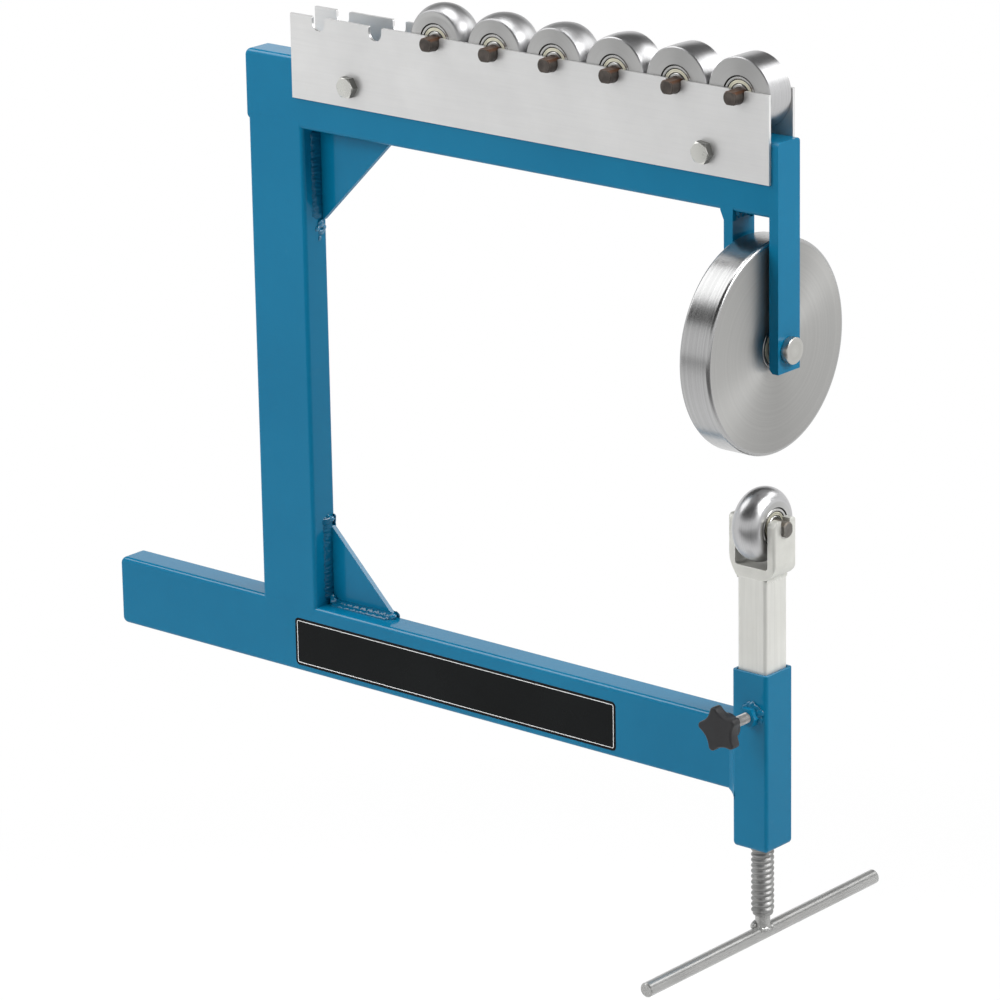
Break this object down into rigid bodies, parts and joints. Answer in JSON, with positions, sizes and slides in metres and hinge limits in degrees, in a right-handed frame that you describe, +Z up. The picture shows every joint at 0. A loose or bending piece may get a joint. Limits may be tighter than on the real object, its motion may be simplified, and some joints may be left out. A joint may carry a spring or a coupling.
{
  "type": "bench english wheel",
  "caption": "Bench english wheel: a welded tube C-frame with a large upper wheel, a screw-raised post with a yoked crowned anvil, and a slotted rack of spare anvils.",
  "frame": {"origin": "underside of the base rail, below the column's centre line, in the machine's middle plane", "axes": "+X along the machine from the column to the wheels, +Y across it away from the lock knob, +Z up"},
  "size_m": [0.8395, 0.35, 0.8418],
  "materials": {
    "paint": "gloss blue enamel",
    "sheet_steel": "pale satin sheet",
    "zinc_plate": "zinc plated",
    "steel": "bare steel",
    "polished_steel": "turned and polished",
    "dark_oxide": "dark oxide with a trace of rust",
    "bearing_shield": "pressed shields",
    "plastic": "moulded, fine grain"
  },
  "bodies": {
    "frame": {"base_rail": "paint", "rail_end_cap": "paint", "column": "paint", "top_arm": "paint", "arm_end_cap": "paint", "upper_gusset": "paint", "lower_gusset": "paint", "front_strap": "paint", "rear_strap": "paint", "post_sleeve": "paint", "lock_nut": "paint", "adjuster_nut": "steel", "near_rack_plate": "sheet_steel", "far_rack_plate": "sheet_steel", "rack_bolts": "zinc_plate", "rack_nuts": "zinc_plate", "wheel_axle": "polished_steel", "axle_circlip": "steel", "wheel_spacers": "steel", "wheel_inner_races": "steel"},
    "wheel": {"upper_wheel": "polished_steel", "wheel_outer_races": "bearing_shield"},
    "post": {"post_tube": "zinc_plate", "post_foot": "zinc_plate", "yoke": "zinc_plate", "working_axle": "dark_oxide", "working_inner_races": "steel"},
    "working_anvil": {"working_anvil": "polished_steel", "working_outer_races": "bearing_shield"},
    "adjuster": {"adjuster_screw": "steel", "screw_circlip": "steel", "tee_bar": "steel"},
    "lock_stud": {"lock_stud": "steel"},
    "lock_knob": {"lock_knob": "plastic"},
    "anvil_1_axle": {"anvil_1_axle": "dark_oxide", "anvil_1_inner_races": "steel"},
    "anvil_1": {"anvil_1": "polished_steel", "anvil_1_outer_races": "bearing_shield"},
    "anvil_2_axle": {"anvil_2_axle": "dark_oxide", "anvil_2_inner_races": "steel"},
    "anvil_2": {"anvil_2": "polished_steel", "anvil_2_outer_races": "bearing_shield"},
    "anvil_3_axle": {"anvil_3_axle": "dark_oxide", "anvil_3_inner_races": "steel"},
    "anvil_3": {"anvil_3": "polished_steel", "anvil_3_outer_races": "bearing_shield"},
    "anvil_4_axle": {"anvil_4_axle": "dark_oxide", "anvil_4_inner_races": "steel"},
    "anvil_4": {"anvil_4": "polished_steel", "anvil_4_outer_races": "bearing_shield"},
    "anvil_5_axle": {"anvil_5_axle": "dark_oxide", "anvil_5_inner_races": "steel"},
    "anvil_5": {"anvil_5": "polished_steel", "anvil_5_outer_races": "bearing_shield"},
    "anvil_6_axle": {"anvil_6_axle": "dark_oxide", "anvil_6_inner_races": "steel"},
    "anvil_6": {"anvil_6": "polished_steel", "anvil_6_outer_races": "bearing_shield"}
  },
  "joints": [
    {"name": "wheel_spin", "type": "hinge", "parent": "frame", "child": "wheel", "pos_m": [0.572, 0, 0.4293], "axis": [1, 0, 0], "continuous": true},
    {"name": "post_lift", "type": "slide", "parent": "frame", "child": "post", "axis": [0, 0, 1], "range_m": [-0.045, 0.034]},
    {"name": "adjuster_turn", "type": "hinge", "parent": "post", "child": "adjuster", "pos_m": [0.572, 0, 0], "axis": [0, 0, 1], "range_deg": [-2944, 2224]},
    {"name": "working_anvil_spin", "type": "hinge", "parent": "post", "child": "working_anvil", "pos_m": [0.572, 0, 0.2593], "axis": [1, 0, 0], "continuous": true},
    {"name": "lock_slide", "type": "slide", "parent": "frame", "child": "lock_stud", "axis": [0, 1, 0], "range_m": [-0.006, 0]},
    {"name": "lock_turn", "type": "hinge", "parent": "lock_stud", "child": "lock_knob", "pos_m": [0.5755, -0.067, 0.081], "axis": [0, 1, 0], "range_deg": [-1440, 0]},
    {"name": "anvil_1_lift", "type": "slide", "parent": "frame", "child": "anvil_1_axle", "axis": [0, 0, 1], "range_m": [0, 0.05]},
    {"name": "anvil_1_spin", "type": "hinge", "parent": "anvil_1_axle", "child": "anvil_1", "pos_m": [0.204, 0, 0.65928], "axis": [0, 1, 0], "continuous": true},
    {"name": "anvil_2_lift", "type": "slide", "parent": "frame", "child": "anvil_2_axle", "axis": [0, 0, 1], "range_m": [0, 0.05]},
    {"name": "anvil_2_spin", "type": "hinge", "parent": "anvil_2_axle", "child": "anvil_2", "pos_m": [0.275, 0, 0.65928], "axis": [0, 1, 0], "continuous": true},
    {"name": "anvil_3_lift", "type": "slide", "parent": "frame", "child": "anvil_3_axle", "axis": [0, 0, 1], "range_m": [0, 0.05]},
    {"name": "anvil_3_spin", "type": "hinge", "parent": "anvil_3_axle", "child": "anvil_3", "pos_m": [0.346, 0, 0.65928], "axis": [0, 1, 0], "continuous": true},
    {"name": "anvil_4_lift", "type": "slide", "parent": "frame", "child": "anvil_4_axle", "axis": [0, 0, 1], "range_m": [0, 0.05]},
    {"name": "anvil_4_spin", "type": "hinge", "parent": "anvil_4_axle", "child": "anvil_4", "pos_m": [0.417, 0, 0.65928], "axis": [0, 1, 0], "continuous": true},
    {"name": "anvil_5_lift", "type": "slide", "parent": "frame", "child": "anvil_5_axle", "axis": [0, 0, 1], "range_m": [0, 0.05]},
    {"name": "anvil_5_spin", "type": "hinge", "parent": "anvil_5_axle", "child": "anvil_5", "pos_m": [0.488, 0, 0.65928], "axis": [0, 1, 0], "continuous": true},
    {"name": "anvil_6_lift", "type": "slide", "parent": "frame", "child": "anvil_6_axle", "axis": [0, 0, 1], "range_m": [0, 0.05]},
    {"name": "anvil_6_spin", "type": "hinge", "parent": "anvil_6_axle", "child": "anvil_6", "pos_m": [0.559, 0, 0.65928], "axis": [0, 1, 0], "continuous": true}
  ],
  "couplings": [
    {"joint": "post_lift", "follows": "adjuster_turn", "m_per_rad": 0.00087535},
    {"joint": "lock_slide", "follows": "lock_turn", "m_per_rad": 0.00023873}
  ]
}
